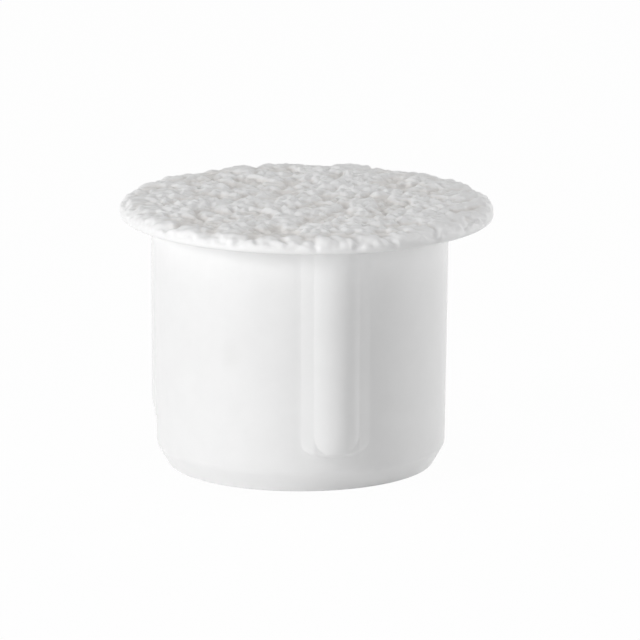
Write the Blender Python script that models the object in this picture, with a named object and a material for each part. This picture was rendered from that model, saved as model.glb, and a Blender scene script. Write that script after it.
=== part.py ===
"""Plug button: one plastic moulding that closes a round hole in an embossed wall panel.

A pebbled disc head sits on a hollow, drafted shank. Three crush ribs run down the shank, each a round
bead between two straight ramps, and end in rounded feet above the lead-in chamfer. The shank is open
at its lower end.

Metres, +Z up. Z is the shank's axis and the open end rests on Z = 0.
Azimuths are measured from -Y towards +X.
"""
from math import asin, atan2, cos, pi, radians, sin, sqrt, tan

import bmesh
import bpy
from mathutils import Vector

MM = 0.001

# Head
HEAD_DIAMETER = 31.75 * MM
HEAD_THICKNESS = 1.28 * MM
HEAD_OFFSET = 0.42 * MM
HEAD_SHOULDER_WIDTH = 1.45 * MM
HEAD_SHOULDER_FULLNESS = 3.0
PARTING_LINE_HEIGHT = 0.30 * MM
UNDERSIDE_RELEASE = 0.15 * MM

# Pebbled relief of the face
PEBBLE_SIZE = 1.1 * MM
PEBBLE_DEPTH = 0.36 * MM
PLATEAU_SIZE = 3.2 * MM
PLATEAU_DEPTH = 0.20 * MM
VALLEY_SPACING = 3.6 * MM
VALLEY_DEPTH = 0.16 * MM
SWELL_SIZE = 6.0 * MM
SWELL_DEPTH = 0.30 * MM
RELIEF_DRIFT_SIZE = 1.6 * MM
RELIEF_DRIFT = 1.0 * MM
RELIEF_BORDER_WIDTH = 3.0 * MM
RELIEF_BORDER_LOSS = 0.55

# Shank
SHANK_LENGTH = 21.4 * MM
SHANK_DIAMETER = 25.2 * MM
SHANK_DRAFT = radians(0.9)
LEAD_IN_HEIGHT = 1.75 * MM
LEAD_IN_DEPTH = 1.02 * MM
LEAD_IN_SHOULDER_RADIUS = 1.2 * MM
RIM_EDGE_RADIUS = 0.16 * MM

# Crush ribs
RIB_COUNT = 3
RIB_AZIMUTH = radians(14.1)
RIB_RAMP_WIDTH = 1.08 * MM
RIB_RAMP_HEIGHT_AT_HEAD = 0.17 * MM
RIB_RAMP_HEIGHT_AT_FOOT = 0.29 * MM
RIB_BEAD_WIDTH = 3.80 * MM
RIB_BEAD_HEIGHT_AT_HEAD = 0.30 * MM
RIB_BEAD_HEIGHT_AT_FOOT = 0.53 * MM
RIB_FOOT_HEIGHT = 3.03 * MM
RIB_FOOT_ARCH = 1.35 * MM
RIB_FOOT_RISE = 0.5 * MM
RIB_BEAD_FOOT_OFFSET = 0.20 * MM

# Cavity
RIM_WIDTH = 0.87 * MM
CAVITY_DRAFT = radians(0.5)
CROWN_THICKNESS = 1.45 * MM
CAVITY_CORNER_RADIUS = 0.9 * MM

# Facets
FACE_RINGS = 30
SHOULDER_STEPS = 5
RAMP_STEPS = 3
BEAD_STEPS = 10
GAP_STEPS = 15
FOOT_STEPS = 8
FOOT_CROWDING = 1.8

PLASTIC_WHITE = (0.85, 0.855, 0.865, 1.0)
PLASTIC_ROUGHNESS = 0.32

HEAD_RADIUS = HEAD_DIAMETER / 2
HEAD_FLAT_RADIUS = HEAD_RADIUS - HEAD_SHOULDER_WIDTH
HEAD_TOP = SHANK_LENGTH + HEAD_THICKNESS
HEAD_CENTRE = Vector((HEAD_OFFSET, 0.0, 0.0))
SHANK_RADIUS = SHANK_DIAMETER / 2
RIB_WIDTH = RIB_BEAD_WIDTH + 2 * RIB_RAMP_WIDTH
BEAD_SHARE = RIB_BEAD_WIDTH / RIB_WIDTH
BEAD_END_HEIGHT = RIB_FOOT_HEIGHT + RIB_BEAD_FOOT_OFFSET + RIB_BEAD_WIDTH / 2


def clear_scene():
    for obj in list(bpy.data.objects):
        bpy.data.objects.remove(obj, do_unlink=True)


def place(radius, azimuth, z):
    """Point at a radius and azimuth about the shank's axis."""
    return Vector((radius * sin(azimuth), -radius * cos(azimuth), z))


def corner_arc(before, corner, after, radius, steps):
    """Points of the arc that rounds a section corner, tangent to both of its sides."""
    back = (before - corner).normalized()
    ahead = (after - corner).normalized()
    half_angle = back.angle(ahead) / 2
    bisector = (back + ahead).normalized()
    centre = corner + bisector * (radius / sin(half_angle))
    start = corner + back * (radius / tan(half_angle)) - centre
    end = corner + ahead * (radius / tan(half_angle)) - centre
    turn = start.angle_signed(end)
    arc = []
    for step in range(steps + 1):
        angle = atan2(start.y, start.x) - turn * step / steps
        arc.append(centre + radius * Vector((cos(angle), sin(angle))))
    return arc


# Pebbled relief

class Wire:
    """One socket of a node tree; arithmetic on it adds Math nodes."""

    def __init__(self, tree, socket):
        self.tree = tree
        self.socket = socket

    @staticmethod
    def node(tree, kind, settings=None, inputs=None, output=0):
        """Add a node, set it up, feed its sockets and hand back one of its outputs."""
        node = tree.nodes.new(kind)
        for name, value in (settings or {}).items():
            setattr(node, name, value)
        for key, value in (inputs or {}).items():
            if isinstance(value, Wire):
                tree.links.new(value.socket, node.inputs[key])
            else:
                node.inputs[key].default_value = value
        return Wire(tree, node.outputs[output])

    def math(self, operation, other=0.0):
        return Wire.node(self.tree, "ShaderNodeMath", {"operation": operation}, {0: self, 1: other})

    def __add__(self, other):
        return self.math("ADD", other)

    def __sub__(self, other):
        return self.math("SUBTRACT", other)

    def __mul__(self, other):
        return self.math("MULTIPLY", other)

    def smooth(self, low, high):
        """Soft step from 0 to 1 between two values."""
        span = {"Value": self, "From Min": low, "From Max": high}
        return Wire.node(self.tree, "ShaderNodeMapRange", {"interpolation_type": "SMOOTHSTEP"}, span)


def noise(place, size, seed, detail=0.0, output="Fac"):
    """Smooth random field over x and y, with features of about the given size."""
    tree = place.tree
    shift = (seed, 1.7 * seed, 0.0)
    scaled = Wire.node(tree, "ShaderNodeVectorMath", {"operation": "MULTIPLY_ADD"},
                       {0: place, 1: (1.0 / size, 1.0 / size, 0.0), 2: shift})
    return Wire.node(tree, "ShaderNodeTexNoise", {"noise_dimensions": "2D"},
                     {"Vector": scaled, "Scale": 1.0, "Detail": detail, "Roughness": 0.5}, output)


def drift(place, size, amount, seed):
    """Places pushed about by a smooth random amount, so that outlines wander."""
    push = noise(place, size, seed, 1.0, "Color")
    centre = (-0.5 * amount, -0.5 * amount, 0.0)
    scaled = Wire.node(place.tree, "ShaderNodeVectorMath", {"operation": "MULTIPLY_ADD"},
                       {0: push, 1: (amount, amount, 0.0), 2: centre})
    return Wire.node(place.tree, "ShaderNodeVectorMath", {"operation": "ADD"}, {0: place, 1: scaled})


def broad_relief(place):
    """Plateaus and the slow swell of the face."""
    wandering = drift(place, RELIEF_DRIFT_SIZE, RELIEF_DRIFT, 3.0)
    plateau = noise(wandering, PLATEAU_SIZE, 9.0, 1.0).smooth(0.38, 0.54)
    swell = noise(place, SWELL_SIZE, 30.0)
    return (plateau - 0.6) * PLATEAU_DEPTH + (swell - 0.5) * SWELL_DEPTH


def valley_relief(place):
    """Narrow winding valleys, which reach down over the rim as grooves."""
    wandering = drift(place, RELIEF_DRIFT_SIZE, RELIEF_DRIFT, 3.0)
    ridge = (noise(wandering, VALLEY_SPACING, 4.0) * 2.0 - 1.0).math("ABSOLUTE")
    return (ridge.smooth(0.0, 0.16) - 0.9) * VALLEY_DEPTH


def pebble_relief(place):
    """Small pebbles all over the plateaus."""
    wandering = drift(place, 0.6 * PEBBLE_SIZE, 0.26 * PEBBLE_SIZE, 8.0)
    pebble = noise(wandering, PEBBLE_SIZE, 4.0, 1.0).smooth(0.24, 0.74)
    return (pebble - 0.5) * PEBBLE_DEPTH


def relief_tree():
    """Geometry nodes that move the face along its normals; the pattern is drawn straight down."""
    tree = bpy.data.node_groups.new("face_relief", "GeometryNodeTree")
    tree.interface.new_socket("Geometry", in_out="INPUT", socket_type="NodeSocketGeometry")
    tree.interface.new_socket("Geometry", in_out="OUTPUT", socket_type="NodeSocketGeometry")
    shape = Wire.node(tree, "NodeGroupInput")
    place = Wire.node(tree, "GeometryNodeInputPosition")
    normal = Wire.node(tree, "GeometryNodeInputNormal")
    x, y, height = (Wire.node(tree, "ShaderNodeSeparateXYZ", {}, {0: place}, axis) for axis in "XYZ")
    level = (height - SHANK_LENGTH) * (1.0 / HEAD_THICKNESS)
    from_middle = ((x - HEAD_OFFSET).math("POWER", 2.0) + y * y).math("POWER", 0.5)
    border = ((from_middle - HEAD_FLAT_RADIUS) * (1.0 / RELIEF_BORDER_WIDTH)).smooth(-1.0, 0.0)
    lift = broad_relief(place) * level.smooth(0.2, 1.0) + pebble_relief(place) * level.smooth(0.4, 1.0)
    lift = lift * (border * -RELIEF_BORDER_LOSS + 1.0) + valley_relief(place) * level.smooth(0.0, 0.5)
    offset = Wire.node(tree, "ShaderNodeVectorMath", {"operation": "SCALE"}, {0: normal, "Scale": lift})
    moved = Wire.node(tree, "GeometryNodeSetPosition", {}, {"Geometry": shape, "Offset": offset})
    result = tree.nodes.new("NodeGroupOutput")
    tree.links.new(moved.socket, result.inputs[0])
    return tree


# Head

def face_profile():
    """Radius and height of each ring of the face, from the middle to the parting line."""
    rings = []
    for ring in range(1, FACE_RINGS + 1):
        rings.append((HEAD_FLAT_RADIUS * ring / FACE_RINGS, HEAD_TOP))
    drop = HEAD_THICKNESS - PARTING_LINE_HEIGHT
    power = 2.0 / HEAD_SHOULDER_FULLNESS
    for step in range(1, SHOULDER_STEPS + 1):
        turn = pi / 2 * step / SHOULDER_STEPS
        radius = HEAD_FLAT_RADIUS + HEAD_SHOULDER_WIDTH * sin(turn) ** power
        rings.append((radius, HEAD_TOP - drop * (1.0 - max(cos(turn), 0.0) ** power)))
    return rings


def head_ring(bm, radius, height, count):
    return [bm.verts.new(HEAD_CENTRE + place(radius, 2 * pi * index / count, height)) for index in range(count)]


def zip_rings(bm, inner, outer):
    """Triangles between two rings of the face, the outer with six vertices more than the inner."""
    if len(inner) == 1:
        for index, vert in enumerate(outer):
            bm.faces.new((inner[0], vert, outer[(index + 1) % len(outer)]))
        return
    steps = len(inner) // 6
    for sector in range(6):
        for step in range(steps + 1):
            here = outer[sector * (steps + 1) + step]
            ahead = outer[(sector * (steps + 1) + step + 1) % len(outer)]
            below = inner[(sector * steps + step) % len(inner)]
            bm.faces.new((below, here, ahead))
            if step < steps:
                bm.faces.new((below, ahead, inner[(sector * steps + step + 1) % len(inner)]))


def add_head(bm):
    """Face, shoulder and parting line; returns the ring around the underside."""
    previous = [bm.verts.new(HEAD_CENTRE + Vector((0.0, 0.0, HEAD_TOP)))]
    for number, (radius, height) in enumerate(face_profile(), 1):
        verts = head_ring(bm, radius, height, 6 * min(number, FACE_RINGS))
        if number <= FACE_RINGS:
            zip_rings(bm, previous, verts)
        else:
            bridge(bm, previous, verts)
        previous = verts
    underside = head_ring(bm, HEAD_RADIUS - UNDERSIDE_RELEASE, SHANK_LENGTH, len(previous))
    bridge(bm, previous, underside)
    return underside


# Shank

def bridge(bm, ring, next_ring):
    """Quads between two closed rings of equal count."""
    count = len(ring)
    for index in range(count):
        after = (index + 1) % count
        bm.faces.new((ring[index], next_ring[index], next_ring[after], ring[after]))


def shank_radius(z):
    return SHANK_RADIUS - (SHANK_LENGTH - z) * tan(SHANK_DRAFT)


def rim_radius():
    """Radius where the lead-in chamfer meets the plane of the rim."""
    return shank_radius(LEAD_IN_HEIGHT) - LEAD_IN_DEPTH


def rib_half_angle():
    return asin(RIB_WIDTH / 2 / shank_radius(RIB_FOOT_HEIGHT))


def rib_positions():
    """Positions across a rib, from -1 to 1, with one on each edge of the bead."""
    ramp = [1.0 - (1.0 - BEAD_SHARE) * step / RAMP_STEPS for step in range(RAMP_STEPS)]
    bead = [BEAD_SHARE * (2.0 * step / BEAD_STEPS - 1.0) for step in range(BEAD_STEPS + 1)]
    return [-across for across in ramp] + bead + ramp[::-1]


def stations():
    """Azimuth and rib position of each section of the shank."""
    places = []
    half = rib_half_angle()
    gap = 2 * pi / RIB_COUNT - 2 * half
    for rib in range(RIB_COUNT):
        centre = RIB_AZIMUTH + 2 * pi * rib / RIB_COUNT
        for across in rib_positions():
            places.append((centre + across * half, across))
        for step in range(1, GAP_STEPS):
            places.append((centre + half + gap * step / GAP_STEPS, 1.0))
    return places


def rib_foot(across):
    """Height of the rib's lower outline, which has rounded corners."""
    return RIB_FOOT_HEIGHT + RIB_FOOT_ARCH * (1.0 - sqrt(max(1.0 - across ** 2, 0.0)))


def rib_height(across, z):
    """Straight ramps on both sides and, between them, a round bead with a domed lower end."""
    up = (z - RIB_FOOT_HEIGHT) / (SHANK_LENGTH - RIB_FOOT_HEIGHT)
    ramp = RIB_RAMP_HEIGHT_AT_FOOT + (RIB_RAMP_HEIGHT_AT_HEAD - RIB_RAMP_HEIGHT_AT_FOOT) * up
    bead = RIB_BEAD_HEIGHT_AT_FOOT + (RIB_BEAD_HEIGHT_AT_HEAD - RIB_BEAD_HEIGHT_AT_FOOT) * up
    ramp_share = min((1.0 - abs(across)) / (1.0 - BEAD_SHARE), 1.0)
    rise = min(max((z - rib_foot(across)) / RIB_FOOT_RISE, 0.0), 1.0)
    below_end = min(z - BEAD_END_HEIGHT, 0.0) / (RIB_BEAD_WIDTH / 2)
    bead_share = max(1.0 - (across / BEAD_SHARE) ** 2 - below_end ** 2, 0.0)
    return ramp * ramp_share * (1.0 - (1.0 - rise) ** 2) + bead * bead_share


def foot_level(across, step):
    """Height of a ring through the feet, from the rib's lower outline up to the plain rib."""
    bottom = rib_foot(across)
    top = max(BEAD_END_HEIGHT, RIB_FOOT_HEIGHT + RIB_FOOT_ARCH + RIB_FOOT_RISE)
    return bottom + (top - bottom) * (step / FOOT_STEPS) ** FOOT_CROWDING


def wall_ring(bm, height_rule):
    """Ring on the ribbed wall, at a height that may follow the ribs' feet."""
    ring = []
    for azimuth, across in stations():
        z = height_rule(across)
        ring.append(bm.verts.new(place(shank_radius(z) + rib_height(across, z), azimuth, z)))
    return ring


def plain_rings(bm, section):
    """Round rings through the points of a section, without ribs."""
    rings = []
    for point in section:
        rings.append([bm.verts.new(place(point.x, azimuth, point.y)) for azimuth, _ in stations()])
    return rings


def lead_in_section():
    """Wall, soft shoulder, chamfer and rounded edge of the rim, from the top down."""
    shoulder = Vector((shank_radius(LEAD_IN_HEIGHT), LEAD_IN_HEIGHT))
    rim = Vector((rim_radius(), 0.0))
    wall = Vector((shank_radius(RIB_FOOT_HEIGHT), RIB_FOOT_HEIGHT))
    land = Vector((rim_radius() - RIM_WIDTH, 0.0))
    points = corner_arc(wall, shoulder, rim, LEAD_IN_SHOULDER_RADIUS, 3)
    points += corner_arc(shoulder, rim, land, RIM_EDGE_RADIUS, 2)
    return points


def cavity_section():
    """Mouth, drafted wall and rounded corner of the cavity, from the bottom up."""
    ceiling = HEAD_TOP - CROWN_THICKNESS
    mouth = Vector((rim_radius() - RIM_WIDTH, 0.0))
    corner = Vector((mouth.x - ceiling * tan(CAVITY_DRAFT), ceiling))
    centre = Vector((0.0, ceiling))
    return [mouth] + corner_arc(mouth, corner, centre, CAVITY_CORNER_RADIUS, 3)


def add_shank(bm):
    """Ribbed wall, lead-in, rim and cavity; returns the ring where the wall meets the head."""
    rings = [wall_ring(bm, lambda across: SHANK_LENGTH)]
    for step in range(FOOT_STEPS, -1, -1):
        rings.append(wall_ring(bm, lambda across: foot_level(across, step)))
    rings += plain_rings(bm, lead_in_section())
    rings += plain_rings(bm, cavity_section())
    for ring, next_ring in zip(rings, rings[1:]):
        bridge(bm, ring, next_ring)
    bm.faces.new(rings[-1])
    return rings[0]


def close_underside(bm, wall, edge):
    """Flat ring under the head, between the ribbed wall and the head's edge."""
    edges = []
    for ring in (wall, edge):
        for index, vert in enumerate(ring):
            edges.append(bm.edges.get((vert, ring[(index + 1) % len(ring)])))
    bmesh.ops.triangle_fill(bm, edges=edges, use_beauty=True, normal=(0.0, 0.0, -1.0))


def white_plastic():
    material = bpy.data.materials.new("white_plastic")
    material.use_nodes = True
    shader = material.node_tree.nodes["Principled BSDF"]
    shader.inputs["Base Color"].default_value = PLASTIC_WHITE
    shader.inputs["Roughness"].default_value = PLASTIC_ROUGHNESS
    shader.inputs["Metallic"].default_value = 0.0
    return material


def make_plug_button():
    bm = bmesh.new()
    underside = add_head(bm)
    wall = add_shank(bm)
    close_underside(bm, wall, underside)
    bmesh.ops.recalc_face_normals(bm, faces=bm.faces)
    mesh = bpy.data.meshes.new("plug_button")
    bm.to_mesh(mesh)
    bm.free()
    mesh.shade_smooth()
    mesh.set_sharp_from_angle(angle=radians(40))
    mesh.materials.append(white_plastic())
    obj = bpy.data.objects.new("plug_button", mesh)
    bpy.context.scene.collection.objects.link(obj)
    relief = obj.modifiers.new("face_relief", "NODES")
    relief.node_group = relief_tree()
    return obj


clear_scene()
make_plug_button()
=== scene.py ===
"""Picture of a pebble-faced plug button, a white moulding standing on its open end.

Metres, +Z up. Azimuths are measured from -Y, where the camera is, towards +X.
"""
from math import asin, atan2, cos, pi, radians, sin, sqrt, tan

import bmesh
import bpy
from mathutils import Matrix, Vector


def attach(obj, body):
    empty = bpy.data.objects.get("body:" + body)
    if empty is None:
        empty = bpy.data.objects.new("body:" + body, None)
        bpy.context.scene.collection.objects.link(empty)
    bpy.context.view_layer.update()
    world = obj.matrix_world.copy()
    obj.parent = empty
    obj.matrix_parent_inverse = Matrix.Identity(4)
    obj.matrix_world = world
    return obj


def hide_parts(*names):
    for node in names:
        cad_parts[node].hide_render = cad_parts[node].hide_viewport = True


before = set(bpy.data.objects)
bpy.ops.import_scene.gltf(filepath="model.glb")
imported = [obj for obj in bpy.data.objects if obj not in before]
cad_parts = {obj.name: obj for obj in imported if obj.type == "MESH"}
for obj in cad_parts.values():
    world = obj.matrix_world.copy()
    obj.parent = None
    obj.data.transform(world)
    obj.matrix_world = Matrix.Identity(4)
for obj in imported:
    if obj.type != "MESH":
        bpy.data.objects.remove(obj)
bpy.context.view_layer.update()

MM = 0.001

# Head
HEAD_DIAMETER = 31.75 * MM
HEAD_THICKNESS = 1.28 * MM
HEAD_OFFSET = 0.52 * MM
HEAD_TILT = radians(0.35)
HEAD_SHOULDER_WIDTH = 2.0 * MM
HEAD_SHOULDER_FULLNESS = 2.3
PARTING_LINE_HEIGHT = 0.30 * MM
UNDERSIDE_RELEASE = 0.15 * MM

# Pebbled relief of the face
PEBBLE_SIZE = 0.70 * MM
PEBBLE_DEPTH = 0.34 * MM
PLATEAU_SIZE = 3.2 * MM
PLATEAU_DEPTH = 0.22 * MM
VALLEY_SPACING = 3.6 * MM
VALLEY_DEPTH = 0.18 * MM
SWELL_SIZE = 6.0 * MM
SWELL_DEPTH = 0.30 * MM
RELIEF_DRIFT_SIZE = 1.6 * MM
RELIEF_DRIFT = 1.0 * MM
RELIEF_BORDER_WIDTH = 2.0 * MM
RELIEF_BORDER_LOSS = 0.38

# Noise levels between which a form rises from its lowest to its highest
PEBBLE_SLOPE = (0.15, 0.85)
PLATEAU_SLOPE = (0.38, 0.54)
VALLEY_SLOPE = (0.0, 0.24)

# Share of its depth that stands below the plain face
PEBBLE_SUNK = 0.5
PLATEAU_SUNK = 0.6
VALLEY_SUNK = 0.9
SWELL_SUNK = 0.5

# Shares of the head's thickness between which a form grows to its full depth, up the shoulder
PEBBLE_FADE_IN = (0.1, 0.7)
BROAD_FADE_IN = (0.2, 1.0)
VALLEY_FADE_IN = (0.0, 0.5)
# The last share sets where the stored relief, from which shade is painted into the valleys, grows to full
VALLEY_SHADE_FADE_IN = (0.6, 1.0)

# Shank
SHANK_LENGTH = 21.4 * MM
SHANK_DIAMETER = 25.2 * MM
SHANK_DRAFT = radians(0.9)
LEAD_IN_HEIGHT = 1.75 * MM
LEAD_IN_DEPTH = 1.02 * MM
LEAD_IN_SHOULDER_RADIUS = 1.2 * MM
RIM_EDGE_RADIUS = 0.16 * MM
RIM_WIDTH = 0.87 * MM
MOUTH_EDGE_RADIUS = 0.10 * MM

# Crush ribs
RIB_COUNT = 3
RIB_AZIMUTH = radians(14.1)
RIB_RAMP_WIDTH = 1.08 * MM
RIB_RAMP_HEIGHT_AT_HEAD = 0.17 * MM
RIB_RAMP_HEIGHT_AT_FOOT = 0.29 * MM
RIB_BEAD_WIDTH = 3.80 * MM
RIB_BEAD_HEIGHT_AT_HEAD = 0.30 * MM
RIB_BEAD_HEIGHT_AT_FOOT = 0.53 * MM
RIB_FOOT_HEIGHT = 3.03 * MM
RIB_FOOT_ARCH = 1.35 * MM
RIB_FOOT_RISE = 0.5 * MM
RIB_BEAD_FOOT_OFFSET = 0.20 * MM

# Cavity
CAVITY_DRAFT = radians(0.5)
CROWN_THICKNESS = 1.45 * MM
CAVITY_CORNER_RADIUS = 0.9 * MM

# Fineness of the mesh
FACE_SECTORS = 6
FACE_RINGS = 130
SHOULDER_STEPS = 18
RELEASE_STEPS = 3
RAMP_STEPS = 12
BEAD_STEPS = 44
GAP_STEPS = 62
WALL_STEPS = 3
FOOT_STEPS = 26
FOOT_CROWDING = 1.4
LEAD_IN_STEPS = 6
RIM_STEPS = 4
MOUTH_STEPS = 3
CAVITY_CORNER_STEPS = 6
SHARP_EDGE_ANGLE = radians(50)

HEAD_RADIUS = HEAD_DIAMETER / 2
HEAD_FLAT_RADIUS = HEAD_RADIUS - HEAD_SHOULDER_WIDTH
HEAD_TOP = SHANK_LENGTH + HEAD_THICKNESS
HEAD_CENTRE = Vector((HEAD_OFFSET, 0.0, 0.0))
SHANK_RADIUS = SHANK_DIAMETER / 2
RIB_WIDTH = RIB_BEAD_WIDTH + 2 * RIB_RAMP_WIDTH
BEAD_END_HEIGHT = RIB_FOOT_HEIGHT + RIB_BEAD_FOOT_OFFSET + RIB_BEAD_WIDTH / 2

# Finish of the plastic: linear colours, among them painted shade in the valleys and a painted highlight on
# the rim, where each starts and is full, roughness and grain
PLASTIC_LIGHT = (0.878, 0.878, 0.878, 1.0)
PLASTIC_DARK = (0.862, 0.862, 0.862, 1.0)
# Painted shade: the relief's valleys are darkened in the colour, with a warm dust-like tint
VALLEY_SHADE_AND_DUST = (0.800, 0.778, 0.755, 1.0)
VALLEY_SHADE_SHARE = 0.8
VALLEY_SHADE_SLOPE = (-0.22, 0.06)
SMUDGE_TINT = (0.800, 0.800, 0.795, 1.0)
SMUDGE_SHARE = 0.35
SMUDGE_CENTRE = (-5.85 * MM, -10.95 * MM, 11.75 * MM)
SMUDGE_REACH = (1.4 * MM, 1.4 * MM, 2.2 * MM)
# Painted light: the band near the head's edge is made paler in the colour, standing in for the light the
# rounded rim catches
RIM_PAINTED_LIGHT_TINT = (0.915, 0.915, 0.915, 1.0)
RIM_PAINTED_LIGHT_START = HEAD_RADIUS - 1.30 * MM
RIM_PAINTED_LIGHT_FULL = HEAD_RADIUS - 0.25 * MM
FACE_START = SHANK_LENGTH + 0.05 * MM
FACE_FULL = SHANK_LENGTH + 0.30 * MM
SHANK_ROUGHNESS = 0.26
FACE_ROUGHNESS = 0.62
SPECULAR_LEVEL = 0.2
CLOUDS_PER_METRE = 420.0
GRAINS_PER_METRE = 3800.0
DRAG_LINES_PER_METRE = 1600.0
DRAG_STRETCH = 0.02
GRAIN_DEPTH = 0.01 * MM

# Camera: fitted to the outlines of the head and the shank
CAMERA_ELEVATION = radians(13.05)
CAMERA_DISTANCE = 700 * MM
PIXELS_PER_METRE = 11700
PICTURE_WIDTH = 640
SENSOR_WIDTH = 36
SIGHT_RIGHT = 1.642 * MM
SIGHT_UP = 11.888 * MM

# Soft lamps around the part: azimuth, elevation, width in metres, watts
LAMPS = {
    "left_strip": (-59, 9, 0.14, 2.88),
    "front_softbox": (30, 10, 0.30, 0.75),
    "right_strip": (120, 5, 0.08, 1.90),
    "overhead_softbox": (0, 89, 0.30, 1.10),
}
LAMP_DISTANCE = 0.60
LAMP_HEIGHT = 0.40
LAMP_AIM = Vector((0.0, 0.0, 0.012))
ROOM_LIGHT = 0.15

# Floor
FLOOR_HALF_WIDTH = 1.5
FLOOR_GLOW = 0.97
FLOOR_PAPER = (0.93, 0.93, 0.93, 1.0)
FLOOR_ROUGHNESS = 0.9
WHITE = (1.0, 1.0, 1.0, 1.0)


class Wire:
    """One socket of a node tree; arithmetic on it adds Math nodes."""

    def __init__(self, tree, socket):
        self.tree = tree
        self.socket = socket

    @staticmethod
    def node(tree, kind, settings=None, inputs=None, output=0):
        """Add a node, set it up, feed its sockets and hand back one of its outputs."""
        node = tree.nodes.new(kind)
        for name, value in (settings or {}).items():
            setattr(node, name, value)
        for key, value in (inputs or {}).items():
            if isinstance(value, Wire):
                tree.links.new(value.socket, node.inputs[key])
            else:
                node.inputs[key].default_value = value
        return Wire(tree, node.outputs[output])

    def math(self, operation, *others):
        """Add a Math node on this socket and any others."""
        feeds = {index: value for index, value in enumerate((self,) + others)}
        return Wire.node(self.tree, "ShaderNodeMath", {"operation": operation}, feeds)

    def __add__(self, other):
        return self.math("ADD", other)

    __radd__ = __add__

    def __mul__(self, other):
        return self.math("MULTIPLY", other)

    def __sub__(self, other):
        return self.math("SUBTRACT", other)

    def __rsub__(self, other):
        return (self * -1.0) + other

    def __truediv__(self, other):
        return self.math("DIVIDE", other)

    def __rtruediv__(self, other):
        return self.math("POWER", -1.0) * other

    def clamp(self, low, high):
        return self.math("MAXIMUM", low).math("MINIMUM", high)

    def smooth(self, low, high):
        """Soft step from 0 to 1 between two values."""
        span = {"Value": self, "From Min": low, "From Max": high}
        return Wire.node(self.tree, "ShaderNodeMapRange", {"interpolation_type": "SMOOTHSTEP"}, span)


def vector(tree, operation, inputs):
    """Add a Vector Math node; LENGTH gives a number, the others a vector."""
    output = "Value" if operation == "LENGTH" else 0
    return Wire.node(tree, "ShaderNodeVectorMath", {"operation": operation}, inputs, output)


def split(place):
    """The x, y and z of a vector."""
    x = Wire.node(place.tree, "ShaderNodeSeparateXYZ", {}, {0: place})
    outputs = x.socket.node.outputs
    return x, Wire(place.tree, outputs["Y"]), Wire(place.tree, outputs["Z"])


# The plain moulding: a smooth disc head on a plain shank

def corner_arc(before, corner, after, radius, steps):
    """Points of the arc that rounds a section corner, tangent to both of its sides."""
    back = (before - corner).normalized()
    ahead = (after - corner).normalized()
    half_angle = back.angle(ahead) / 2
    bisector = (back + ahead).normalized()
    centre = corner + bisector * (radius / sin(half_angle))
    start = corner + back * (radius / tan(half_angle)) - centre
    end = corner + ahead * (radius / tan(half_angle)) - centre
    turn = start.angle_signed(end)
    arc = []
    for step in range(steps + 1):
        angle = atan2(start.y, start.x) - turn * step / steps
        arc.append(centre + radius * Vector((cos(angle), sin(angle))))
    return arc


def point_on_wall(radius, azimuth, height):
    """Point at a radius and azimuth about the shank's axis."""
    return Vector((radius * sin(azimuth), -radius * cos(azimuth), height))


def bridge(bm, ring, next_ring):
    """Quads between two closed rings of equal count."""
    count = len(ring)
    for index in range(count):
        after = (index + 1) % count
        bm.faces.new((ring[index], next_ring[index], next_ring[after], ring[after]))


def zip_rings(bm, inner, outer):
    """Triangles between two rings of the face, the outer with one point more in each sector."""
    if len(inner) == 1:
        for index, vert in enumerate(outer):
            bm.faces.new((inner[0], vert, outer[(index + 1) % len(outer)]))
        return
    steps = len(inner) // FACE_SECTORS
    for sector in range(FACE_SECTORS):
        for step in range(steps + 1):
            here = outer[sector * (steps + 1) + step]
            ahead = outer[(sector * (steps + 1) + step + 1) % len(outer)]
            below = inner[(sector * steps + step) % len(inner)]
            bm.faces.new((below, here, ahead))
            if step < steps:
                bm.faces.new((below, ahead, inner[(sector * steps + step + 1) % len(inner)]))


def head_ring(bm, radius, height, count):
    """Round ring of points about the head's middle."""
    return [bm.verts.new(HEAD_CENTRE + point_on_wall(radius, 2 * pi * index / count, height))
            for index in range(count)]


def disc_head(bm):
    """Smooth face, rounded shoulder and parting line; returns the ring around the underside."""
    ring = [bm.verts.new(HEAD_CENTRE + Vector((0.0, 0.0, HEAD_TOP)))]
    for number in range(1, FACE_RINGS + 1):
        outer = head_ring(bm, HEAD_FLAT_RADIUS * number / FACE_RINGS, HEAD_TOP, FACE_SECTORS * number)
        zip_rings(bm, ring, outer)
        ring = outer
    drop = HEAD_THICKNESS - PARTING_LINE_HEIGHT
    power = 2.0 / HEAD_SHOULDER_FULLNESS
    for step in range(1, SHOULDER_STEPS + 1):
        turn = pi / 2 * step / SHOULDER_STEPS
        radius = HEAD_FLAT_RADIUS + HEAD_SHOULDER_WIDTH * sin(turn) ** power
        height = HEAD_TOP - drop * (1.0 - max(cos(turn), 0.0) ** power)
        outer = head_ring(bm, radius, height, len(ring))
        bridge(bm, ring, outer)
        ring = outer
    for step in range(1, RELEASE_STEPS + 1):
        turn = pi / 2 * step / RELEASE_STEPS
        radius = HEAD_RADIUS - UNDERSIDE_RELEASE * (1.0 - cos(turn))
        height = SHANK_LENGTH + PARTING_LINE_HEIGHT * (1.0 - sin(turn))
        outer = head_ring(bm, radius, height, len(ring))
        bridge(bm, ring, outer)
        ring = outer
    return ring


def shank_radius(height):
    """Radius of the drafted wall between the ribs."""
    return SHANK_RADIUS - (SHANK_LENGTH - height) * tan(SHANK_DRAFT)


RIB_HALF_ANGLE = asin(RIB_WIDTH / 2 / shank_radius(RIB_FOOT_HEIGHT))
RIB_SPACING = 2 * pi / RIB_COUNT


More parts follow.
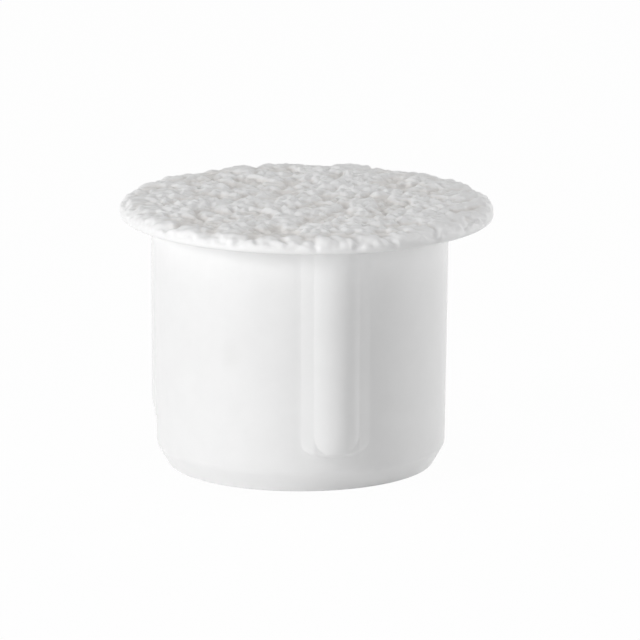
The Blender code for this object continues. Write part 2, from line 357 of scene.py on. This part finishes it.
def rib_places():
    """Azimuth and distance from the nearest rib's middle, as a share of its half width, around the shank.

    The places are closest together on the ribs, with one on each crease.
    """
    crease = RIB_BEAD_WIDTH / RIB_WIDTH
    gap = RIB_SPACING / RIB_HALF_ANGLE - 1.0
    spans = ((-1.0, -crease, RAMP_STEPS), (-crease, crease, BEAD_STEPS), (crease, 1.0, RAMP_STEPS),
             (1.0, gap, GAP_STEPS))
    places = []
    for rib in range(RIB_COUNT):
        for start, end, steps in spans:
            for step in range(steps):
                across = start + (end - start) * step / steps
                azimuth = RIB_AZIMUTH + RIB_SPACING * rib + RIB_HALF_ANGLE * across
                places.append((azimuth, min(abs(across), 1.0)))
    return places


def rib_foot(across):
    """Height of the rib's lower outline, half an ellipse."""
    return RIB_FOOT_HEIGHT + RIB_FOOT_ARCH * (1.0 - sqrt(1.0 - across ** 2))


def wall_ring(bm, wall_mark, height_rule):
    """Ring on the outer wall, marked, at a height that may follow the ribs' feet."""
    ring = []
    for azimuth, across in rib_places():
        height = height_rule(across)
        vert = bm.verts.new(point_on_wall(shank_radius(height), azimuth, height))
        vert[wall_mark] = 1.0
        ring.append(vert)
    return ring


def foot_level(across, step):
    """Height of a ring through the feet, from the rib's lower outline up to the plain rib."""
    bottom = rib_foot(across)
    return bottom + (BEAD_END_HEIGHT - bottom) * (step / FOOT_STEPS) ** FOOT_CROWDING


def lower_section():
    """Section below the ribs: round the lead-in and the rim and up the cavity."""
    wall = Vector((shank_radius(RIB_FOOT_HEIGHT), RIB_FOOT_HEIGHT))
    shoulder = Vector((shank_radius(LEAD_IN_HEIGHT), LEAD_IN_HEIGHT))
    rim = Vector((shoulder.x - LEAD_IN_DEPTH, 0.0))
    mouth = Vector((rim.x - RIM_WIDTH, 0.0))
    ceiling = HEAD_TOP - CROWN_THICKNESS
    corner = Vector((mouth.x - ceiling * tan(CAVITY_DRAFT), ceiling))
    centre = Vector((0.0, ceiling))
    section = corner_arc(wall, shoulder, rim, LEAD_IN_SHOULDER_RADIUS, LEAD_IN_STEPS)
    section += corner_arc(shoulder, rim, mouth, RIM_EDGE_RADIUS, RIM_STEPS)
    section += corner_arc(rim, mouth, corner, MOUTH_EDGE_RADIUS, MOUTH_STEPS)
    section += corner_arc(mouth, corner, centre, CAVITY_CORNER_RADIUS, CAVITY_CORNER_STEPS)
    return section


def hollow_shank(bm, wall_mark):
    """Shank without its ribs; returns the ring under the head."""
    rings = []
    for step in range(WALL_STEPS, 0, -1):
        level = BEAD_END_HEIGHT + (SHANK_LENGTH - BEAD_END_HEIGHT) * step / WALL_STEPS
        rings.append(wall_ring(bm, wall_mark, lambda across: level))
    for step in range(FOOT_STEPS, -1, -1):
        rings.append(wall_ring(bm, wall_mark, lambda across: foot_level(across, step)))
    for point in lower_section():
        rings.append([bm.verts.new(point_on_wall(point.x, azimuth, point.y)) for azimuth, _ in rib_places()])
    for ring, next_ring in zip(rings, rings[1:]):
        bridge(bm, ring, next_ring)
    bm.faces.new(rings[-1])
    return rings[0]


def plain_moulding():
    """The whole moulding as one closed mesh, before its ribs and relief are raised."""
    bm = bmesh.new()
    wall_mark = bm.verts.layers.float.new("outer_wall")
    edge = disc_head(bm)
    wall = hollow_shank(bm, wall_mark)
    rims = []
    for ring in (wall, edge):
        for index, vert in enumerate(ring):
            rims.append(bm.edges.get((vert, ring[(index + 1) % len(ring)])))
    bmesh.ops.triangle_fill(bm, edges=rims, use_beauty=True, normal=(0.0, 0.0, -1.0))
    bmesh.ops.recalc_face_normals(bm, faces=bm.faces)
    mesh = bpy.data.meshes.new("plug_button_moulding")
    bm.to_mesh(mesh)
    bm.free()
    mesh.shade_smooth()
    mesh.set_sharp_from_angle(angle=SHARP_EDGE_ANGLE)
    moulding = bpy.data.objects.new("plug_button_moulding", mesh)
    bpy.context.scene.collection.objects.link(moulding)
    return moulding


# Geometry nodes

def open_tree(name, sizes):
    """New geometry tree with a named input for each size; returns its geometry and its sizes."""
    tree = bpy.data.node_groups.new(name, "GeometryNodeTree")
    tree.interface.new_socket("Geometry", in_out="INPUT", socket_type="NodeSocketGeometry")
    for size in sizes:
        tree.interface.new_socket(size, in_out="INPUT", socket_type="NodeSocketFloat")
    tree.interface.new_socket("Finish", in_out="INPUT", socket_type="NodeSocketMaterial")
    tree.interface.new_socket("Geometry", in_out="OUTPUT", socket_type="NodeSocketGeometry")
    shape = Wire.node(tree, "NodeGroupInput")
    sockets = shape.socket.node.outputs
    return tree, shape, {name: Wire(tree, sockets[name]) for name in (*sizes, "Finish")}


def close_tree(shape, finish):
    """End a geometry tree with plain geometry in its finish."""
    tree = shape.tree
    plain = Wire.node(tree, "GeometryNodeRealizeInstances", {}, {"Geometry": shape})
    dressed = Wire.node(tree, "GeometryNodeSetMaterial", {}, {"Geometry": plain, "Material": finish})
    result = tree.nodes.new("NodeGroupOutput")
    tree.links.new(dressed.socket, result.inputs[0])


def move_points(shape, direction, distance):
    """Move a geometry's points along a direction."""
    offset = vector(shape.tree, "SCALE", {0: direction, "Scale": distance})
    return Wire.node(shape.tree, "GeometryNodeSetPosition", {}, {"Geometry": shape, "Offset": offset})


def apply_tree(obj, tree, sizes, finish):
    """Run a geometry tree on an object with the given sizes and keep the result as its mesh."""
    modifier = obj.modifiers.new(tree.name, "NODES")
    modifier.node_group = tree
    identifiers = {item.name: item.identifier for item in tree.interface.items_tree
                   if item.item_type == "SOCKET" and item.in_out == "INPUT"}
    for name, value in sizes.items():
        modifier[identifiers[name]] = value
    modifier[identifiers["Finish"]] = finish
    graph = bpy.context.evaluated_depsgraph_get()
    made = bpy.data.meshes.new_from_object(obj.evaluated_get(graph))
    obj.modifiers.remove(modifier)
    obj.data = made


def read_attribute(tree, name):
    """A number stored on the points under a name."""
    return Wire.node(tree, "GeometryNodeInputNamedAttribute", {"data_type": "FLOAT"}, {"Name": name})


# Crush ribs

RIB_SIZES = {
    "Rib spacing": RIB_SPACING,
    "Rib azimuth": RIB_AZIMUTH,
    "Rib half angle": RIB_HALF_ANGLE,
    "Rib width": RIB_WIDTH,
    "Ramp height at head": RIB_RAMP_HEIGHT_AT_HEAD,
    "Ramp height at foot": RIB_RAMP_HEIGHT_AT_FOOT,
    "Bead width": RIB_BEAD_WIDTH,
    "Bead height at head": RIB_BEAD_HEIGHT_AT_HEAD,
    "Bead height at foot": RIB_BEAD_HEIGHT_AT_FOOT,
    "Foot height": RIB_FOOT_HEIGHT,
    "Foot arch": RIB_FOOT_ARCH,
    "Foot rise": RIB_FOOT_RISE,
    "Bead foot offset": RIB_BEAD_FOOT_OFFSET,
    "Shank length": SHANK_LENGTH,
}


def full_height(size, form, up):
    """Height of the rib's ramps or bead, which changes evenly from the foot to the head."""
    at_foot = size[form + " height at foot"]
    return at_foot + (size[form + " height at head"] - at_foot) * up


def crush_rib_tree():
    """Raises the ribs: two straight ramps and, between them, a round bead with a domed lower end."""
    tree, shape, size = open_tree("crush_ribs", RIB_SIZES)
    place = Wire.node(tree, "GeometryNodeInputPosition")
    on_wall = read_attribute(tree, "outer_wall")
    x, y, z = split(place)
    azimuth = x.math("ARCTAN2", y * -1.0)
    half_spacing = size["Rib spacing"] * 0.5
    from_rib = (azimuth - size["Rib azimuth"]).math("WRAP", half_spacing, half_spacing * -1.0)
    half_width = size["Rib width"] * 0.5
    half_bead = size["Bead width"] * 0.5
    across = (from_rib / size["Rib half angle"]).math("ABSOLUTE").math("MINIMUM", 1.0)
    out = across * half_width
    up = (z - size["Foot height"]) / (size["Shank length"] - size["Foot height"])

    foot = size["Foot height"] + size["Foot arch"] * (1.0 - (1.0 - across * across).math("SQRT"))
    still_to_rise = 1.0 - ((z - foot) / size["Foot rise"]).clamp(0.0, 1.0)
    slope = ((half_width - out) / (half_width - half_bead)).clamp(0.0, 1.0)
    ramp = slope * (1.0 - still_to_rise * still_to_rise)
    below_end = (z - size["Foot height"] - size["Bead foot offset"] - half_bead).math("MINIMUM", 0.0)
    bead = (1.0 - (out * out + below_end * below_end) / (half_bead * half_bead)).math("MAXIMUM", 0.0)
    height = ramp * full_height(size, "Ramp", up) + bead * full_height(size, "Bead", up)
    outward = vector(tree, "NORMALIZE", {0: vector(tree, "MULTIPLY", {0: place, 1: (1.0, 1.0, 0.0)})})
    close_tree(move_points(shape, outward, height * on_wall), size["Finish"])
    return tree


# Pebbled face

RELIEF_SIZES = {
    "Pebble size": PEBBLE_SIZE,
    "Pebble depth": PEBBLE_DEPTH,
    "Plateau size": PLATEAU_SIZE,
    "Plateau depth": PLATEAU_DEPTH,
    "Valley spacing": VALLEY_SPACING,
    "Valley depth": VALLEY_DEPTH,
    "Swell size": SWELL_SIZE,
    "Swell depth": SWELL_DEPTH,
    "Drift size": RELIEF_DRIFT_SIZE,
    "Drift": RELIEF_DRIFT,
    "Border width": RELIEF_BORDER_WIDTH,
    "Border loss": RELIEF_BORDER_LOSS,
    "Flat radius": HEAD_FLAT_RADIUS,
    "Head offset": HEAD_OFFSET,
    "Head tilt": HEAD_TILT,
    "Underside height": SHANK_LENGTH,
    "Head thickness": HEAD_THICKNESS,
}

# Where in the endless noise each form is taken from
DRIFT_SEED = 3.0
PLATEAU_SEED = 9.0
VALLEY_SEED = 4.0
SWELL_SEED = 30.0
SEED_SKEW = 1.7
PEBBLE_SHIFT = (4.0, 6.8, 0.42)

# Level, in head thicknesses above the underside, that the tilted head starts from
JUST_BELOW_HEAD = -0.001


def flat_noise(place, size, seed, detail=0.0, output="Fac"):
    """Smooth random field over x and y, with features of about the given size."""
    tree = place.tree
    flat = vector(tree, "MULTIPLY", {0: place, 1: (1.0, 1.0, 0.0)})
    scaled = vector(tree, "SCALE", {0: flat, "Scale": 1.0 / size})
    shifted = vector(tree, "ADD", {0: scaled, 1: (seed, SEED_SKEW * seed, 0.0)})
    return Wire.node(tree, "ShaderNodeTexNoise", {"noise_dimensions": "2D"},
                     {"Vector": shifted, "Scale": 1.0, "Detail": detail, "Roughness": 0.5}, output)


def drift(place, size, amount, seed):
    """Places pushed about by a smooth random amount, so that outlines wander."""
    tree = place.tree
    push = flat_noise(place, size, seed, 1.0, "Color")
    centred = vector(tree, "SUBTRACT", {0: push, 1: (0.5, 0.5, 0.0)})
    level = vector(tree, "MULTIPLY", {0: centred, 1: (1.0, 1.0, 0.0)})
    return vector(tree, "ADD", {0: place, 1: vector(tree, "SCALE", {0: level, "Scale": amount})})


def broad_relief(place, size):
    """Plateaus and the slow swell of the face."""
    wandering = drift(place, size["Drift size"], size["Drift"], DRIFT_SEED)
    plateau = flat_noise(wandering, size["Plateau size"], PLATEAU_SEED, 1.0).smooth(*PLATEAU_SLOPE)
    swell = flat_noise(place, size["Swell size"], SWELL_SEED)
    return (plateau - PLATEAU_SUNK) * size["Plateau depth"] + (swell - SWELL_SUNK) * size["Swell depth"]


def valley_relief(place, size):
    """Narrow winding valleys, which reach down over the rim as grooves."""
    wandering = drift(place, size["Drift size"], size["Drift"], DRIFT_SEED)
    ridge = (flat_noise(wandering, size["Valley spacing"], VALLEY_SEED) * 2.0 - 1.0).math("ABSOLUTE")
    return (ridge.smooth(*VALLEY_SLOPE) - VALLEY_SUNK) * size["Valley depth"]


def pebble_relief(place, size):
    """Small pebbles all over the face and, as lumps, round the rim."""
    tree = place.tree
    scaled = vector(tree, "SCALE", {0: place, "Scale": 1.0 / size["Pebble size"]})
    shifted = vector(tree, "ADD", {0: scaled, 1: PEBBLE_SHIFT})
    bumps = Wire.node(tree, "ShaderNodeTexNoise", {}, {"Vector": shifted, "Scale": 1.0, "Detail": 0.0}, "Fac")
    return (bumps.smooth(*PEBBLE_SLOPE) - PEBBLE_SUNK) * size["Pebble depth"]


def face_relief_tree():
    """Moves the face along its normals by its relief, and tilts the whole head a little sideways."""
    tree, shape, size = open_tree("face_relief", RELIEF_SIZES)
    place = Wire.node(tree, "GeometryNodeInputPosition")
    normal = Wire.node(tree, "GeometryNodeInputNormal")
    x, y, height = split(place)
    level = (height - size["Underside height"]) / size["Head thickness"]
    from_middle = ((x - size["Head offset"]).math("POWER", 2.0) + y * y).math("SQRT")
    border = ((from_middle - size["Flat radius"]) / size["Border width"]).smooth(-1.0, 0.0)
    broad = broad_relief(place, size) * level.smooth(*BROAD_FADE_IN)
    pebbled = broad + pebble_relief(place, size) * level.smooth(*PEBBLE_FADE_IN)
    valleys = valley_relief(place, size) * level.smooth(*VALLEY_FADE_IN)
    lift = pebbled * (1.0 - border * size["Border loss"]) + valleys
    # Relief kept for the material, which paints shade into the valleys from it
    relief_in_mm = lift * level.smooth(*VALLEY_SHADE_FADE_IN) * (1.0 / MM)
    kept = Wire.node(tree, "GeometryNodeStoreNamedAttribute", {"data_type": "FLOAT", "domain": "POINT"},
                     {"Geometry": shape, "Name": "relief", "Value": relief_in_mm})
    on_head = level.math("GREATER_THAN", JUST_BELOW_HEAD) * (1.0 - read_attribute(tree, "outer_wall"))
    sinking = (x - size["Head offset"]) * size["Head tilt"].math("TANGENT") * on_head
    raised = vector(tree, "SCALE", {0: normal, "Scale": lift})
    sunk = Wire.node(tree, "ShaderNodeCombineXYZ", {}, {"Z": sinking * -1.0})
    moved = Wire.node(tree, "GeometryNodeSetPosition", {},
                      {"Geometry": kept, "Offset": vector(tree, "ADD", {0: raised, 1: sunk})})
    close_tree(moved, size["Finish"])
    return tree


# Finishes

def blend_colour(tree, share, first, second):
    """Mix of two colours by a share."""
    return Wire.node(tree, "ShaderNodeMix", {"data_type": "RGBA"}, {0: share, 6: first, 7: second}, 2)


def mark_on_wall(place, centre, reach):
    """Soft patch around a point, 1 in its middle and 0 beyond its reach."""
    tree = place.tree
    away = vector(tree, "SUBTRACT", {0: place, 1: centre})
    scaled = vector(tree, "DIVIDE", {0: away, 1: reach})
    return 1.0 - vector(tree, "LENGTH", {0: scaled}).smooth(0.0, 1.0)


def surface_noise(place, per_metre, detail, roughness):
    """Smooth random field in three dimensions, with a number of features to the metre."""
    inputs = {"Vector": place, "Scale": per_metre, "Detail": detail, "Roughness": roughness}
    return Wire.node(place.tree, "ShaderNodeTexNoise", {}, inputs, "Fac")


def plastic_colour(place, rim_painted_light, valley, cloud):
    """Near white, with painted shade and some dust in the valleys, a smudge on the shank and a painted
    highlight that makes the rim paler.
    """
    tree = place.tree
    clean = blend_colour(tree, cloud.smooth(0.25, 0.75), PLASTIC_DARK, PLASTIC_LIGHT)
    # Painted shade in the valleys, warm like dust, taken from the stored relief
    valley_shaded = blend_colour(tree, valley * VALLEY_SHADE_SHARE, clean, VALLEY_SHADE_AND_DUST)
    smudge = mark_on_wall(place, SMUDGE_CENTRE, SMUDGE_REACH)
    smudged = blend_colour(tree, smudge * SMUDGE_SHARE, valley_shaded, SMUDGE_TINT)
    # Painted highlight: the rim band is made paler
    return blend_colour(tree, rim_painted_light, smudged, RIM_PAINTED_LIGHT_TINT)


def plastic_grain(place, on_face):
    """Fine grain on the face and faint upright drag lines on the shank."""
    tree = place.tree
    grain = surface_noise(place, GRAINS_PER_METRE, 2.0, 0.6)
    upright = vector(tree, "MULTIPLY", {0: place, 1: (1.0, 1.0, DRAG_STRETCH)})
    drag = surface_noise(upright, DRAG_LINES_PER_METRE, 2.0, 0.5)
    surface = grain * on_face * 0.5 + drag * (1.0 - on_face)
    inputs = {"Strength": 0.25, "Distance": GRAIN_DEPTH, "Height": surface}
    return Wire.node(tree, "ShaderNodeBump", {}, inputs, "Normal")


def white_plastic():
    """White moulded plastic: matte and pebbled on the face, satin on the shank."""
    material = bpy.data.materials.new("white_plastic")
    material.use_nodes = True
    tree = material.node_tree
    shader = tree.nodes["Principled BSDF"]
    place = Wire.node(tree, "ShaderNodeTexCoord", {}, {}, "Object")
    x, y, height = split(place)
    aside = x - HEAD_OFFSET
    from_middle = (aside * aside + y * y).math("SQRT")
    on_face = height.smooth(FACE_START, FACE_FULL)
    # Band round the head's edge where a highlight is painted into the colour
    rim_painted_light = from_middle.smooth(RIM_PAINTED_LIGHT_START, RIM_PAINTED_LIGHT_FULL) * on_face
    relief = Wire.node(tree, "ShaderNodeAttribute", {"attribute_name": "relief"}, {}, "Fac")
    # Mask of the valleys, where shade is painted into the colour
    valley = (1.0 - relief.smooth(*VALLEY_SHADE_SLOPE)) * on_face * (1.0 - rim_painted_light)

    cloud = surface_noise(place, CLOUDS_PER_METRE, 3.0, 0.6)
    shank_roughness = SHANK_ROUGHNESS + (cloud - 0.5) * 0.05
    face_roughness = FACE_ROUGHNESS + (cloud - 0.5) * 0.10 + valley * 0.08
    roughness = shank_roughness * (1.0 - on_face) + face_roughness * on_face
    shader.inputs["Specular IOR Level"].default_value = SPECULAR_LEVEL
    tree.links.new(plastic_colour(place, rim_painted_light, valley, cloud).socket, shader.inputs["Base Color"])
    tree.links.new(roughness.socket, shader.inputs["Roughness"])
    tree.links.new(plastic_grain(place, on_face).socket, shader.inputs["Normal"])
    return material


def seen_directly_or_mirrored(tree):
    """1 for rays that show the surroundings, also by reflection, and 0 for rays that light the part."""
    mirrored = Wire.node(tree, "ShaderNodeLightPath", {}, {}, "Is Glossy Ray")
    paths = mirrored.socket.node.outputs
    through = Wire(tree, paths["Is Transmission Ray"])
    return Wire(tree, paths["Is Camera Ray"]), mirrored.math("MAXIMUM", through)


def white_floor():
    """Pale matte floor that reads as white paper and keeps the part's shadow."""
    bm = bmesh.new()
    bmesh.ops.create_grid(bm, x_segments=1, y_segments=1, size=FLOOR_HALF_WIDTH)
    mesh = bpy.data.meshes.new("floor")
    bm.to_mesh(mesh)
    bm.free()
    material = bpy.data.materials.new("floor_paper")
    material.use_nodes = True
    tree = material.node_tree
    paper = tree.nodes["Principled BSDF"]
    paper.inputs["Base Color"].default_value = FLOOR_PAPER
    paper.inputs["Roughness"].default_value = FLOOR_ROUGHNESS
    camera_ray, mirror_ray = seen_directly_or_mirrored(tree)
    glow = Wire.node(tree, "ShaderNodeEmission", {}, {"Color": WHITE, "Strength": 1.0})
    share = camera_ray * FLOOR_GLOW + mirror_ray
    lit_paper = Wire(tree, paper.outputs[0])
    mixed = Wire.node(tree, "ShaderNodeMixShader", {}, {0: share, 1: lit_paper, 2: glow})
    tree.links.new(mixed.socket, tree.nodes["Material Output"].inputs["Surface"])
    mesh.materials.append(material)
    floor = bpy.data.objects.new("floor", mesh)
    bpy.context.scene.collection.objects.link(floor)
    return floor


def white_room():
    """World that looks white and lights the part faintly from all sides."""
    world = bpy.data.worlds.new("white_room")
    bpy.context.scene.world = world
    world.use_nodes = True
    tree = world.node_tree
    camera_ray, mirror_ray = seen_directly_or_mirrored(tree)
    shown = camera_ray.math("MAXIMUM", mirror_ray)
    strength = shown + (1.0 - shown) * ROOM_LIGHT
    sky = tree.nodes["Background"]
    sky.inputs["Color"].default_value = WHITE
    tree.links.new(strength.socket, sky.inputs["Strength"])


def softbox(name, azimuth, elevation, width, watts):
    """Soft lamp at an azimuth and elevation in degrees, turned to the part."""
    lamp = bpy.data.lights.new(name, "AREA")
    lamp.shape = "RECTANGLE"
    lamp.size = width
    lamp.size_y = LAMP_HEIGHT
    lamp.energy = watts
    around, up = radians(azimuth), radians(elevation)
    direction = Vector((sin(around) * cos(up), -cos(around) * cos(up), sin(up)))
    holder = bpy.data.objects.new(name, lamp)
    holder.location = LAMP_AIM + direction * LAMP_DISTANCE
    holder.rotation_euler = direction.to_track_quat("Z", "Y").to_euler()
    bpy.context.scene.collection.objects.link(holder)


def camera():
    """Camera at the photograph's viewing angle, distance and frame."""
    lens = bpy.data.cameras.new("camera")
    lens.sensor_width = SENSOR_WIDTH
    lens.lens = SENSOR_WIDTH * PIXELS_PER_METRE * CAMERA_DISTANCE / PICTURE_WIDTH
    lens.clip_start = 0.01
    lens.clip_end = 10.0
    forward = Vector((0.0, cos(CAMERA_ELEVATION), -sin(CAMERA_ELEVATION)))
    up = Vector((0.0, sin(CAMERA_ELEVATION), cos(CAMERA_ELEVATION)))
    holder = bpy.data.objects.new("camera", lens)
    holder.location = up * SIGHT_UP + Vector((SIGHT_RIGHT, 0.0, 0.0)) - forward * CAMERA_DISTANCE
    holder.rotation_euler = (pi / 2 - CAMERA_ELEVATION, 0.0, 0.0)
    bpy.context.scene.collection.objects.link(holder)
    bpy.context.scene.camera = holder


bpy.context.scene.view_settings.view_transform = "Standard"
camera()
plastic = white_plastic()
button = plain_moulding()
apply_tree(button, crush_rib_tree(), RIB_SIZES, plastic)
apply_tree(button, face_relief_tree(), RELIEF_SIZES, plastic)
floor = white_floor()
white_room()
for lamp_name, lamp_settings in LAMPS.items():
    softbox(lamp_name, *lamp_settings)

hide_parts("plug_button")
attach(button, "root")
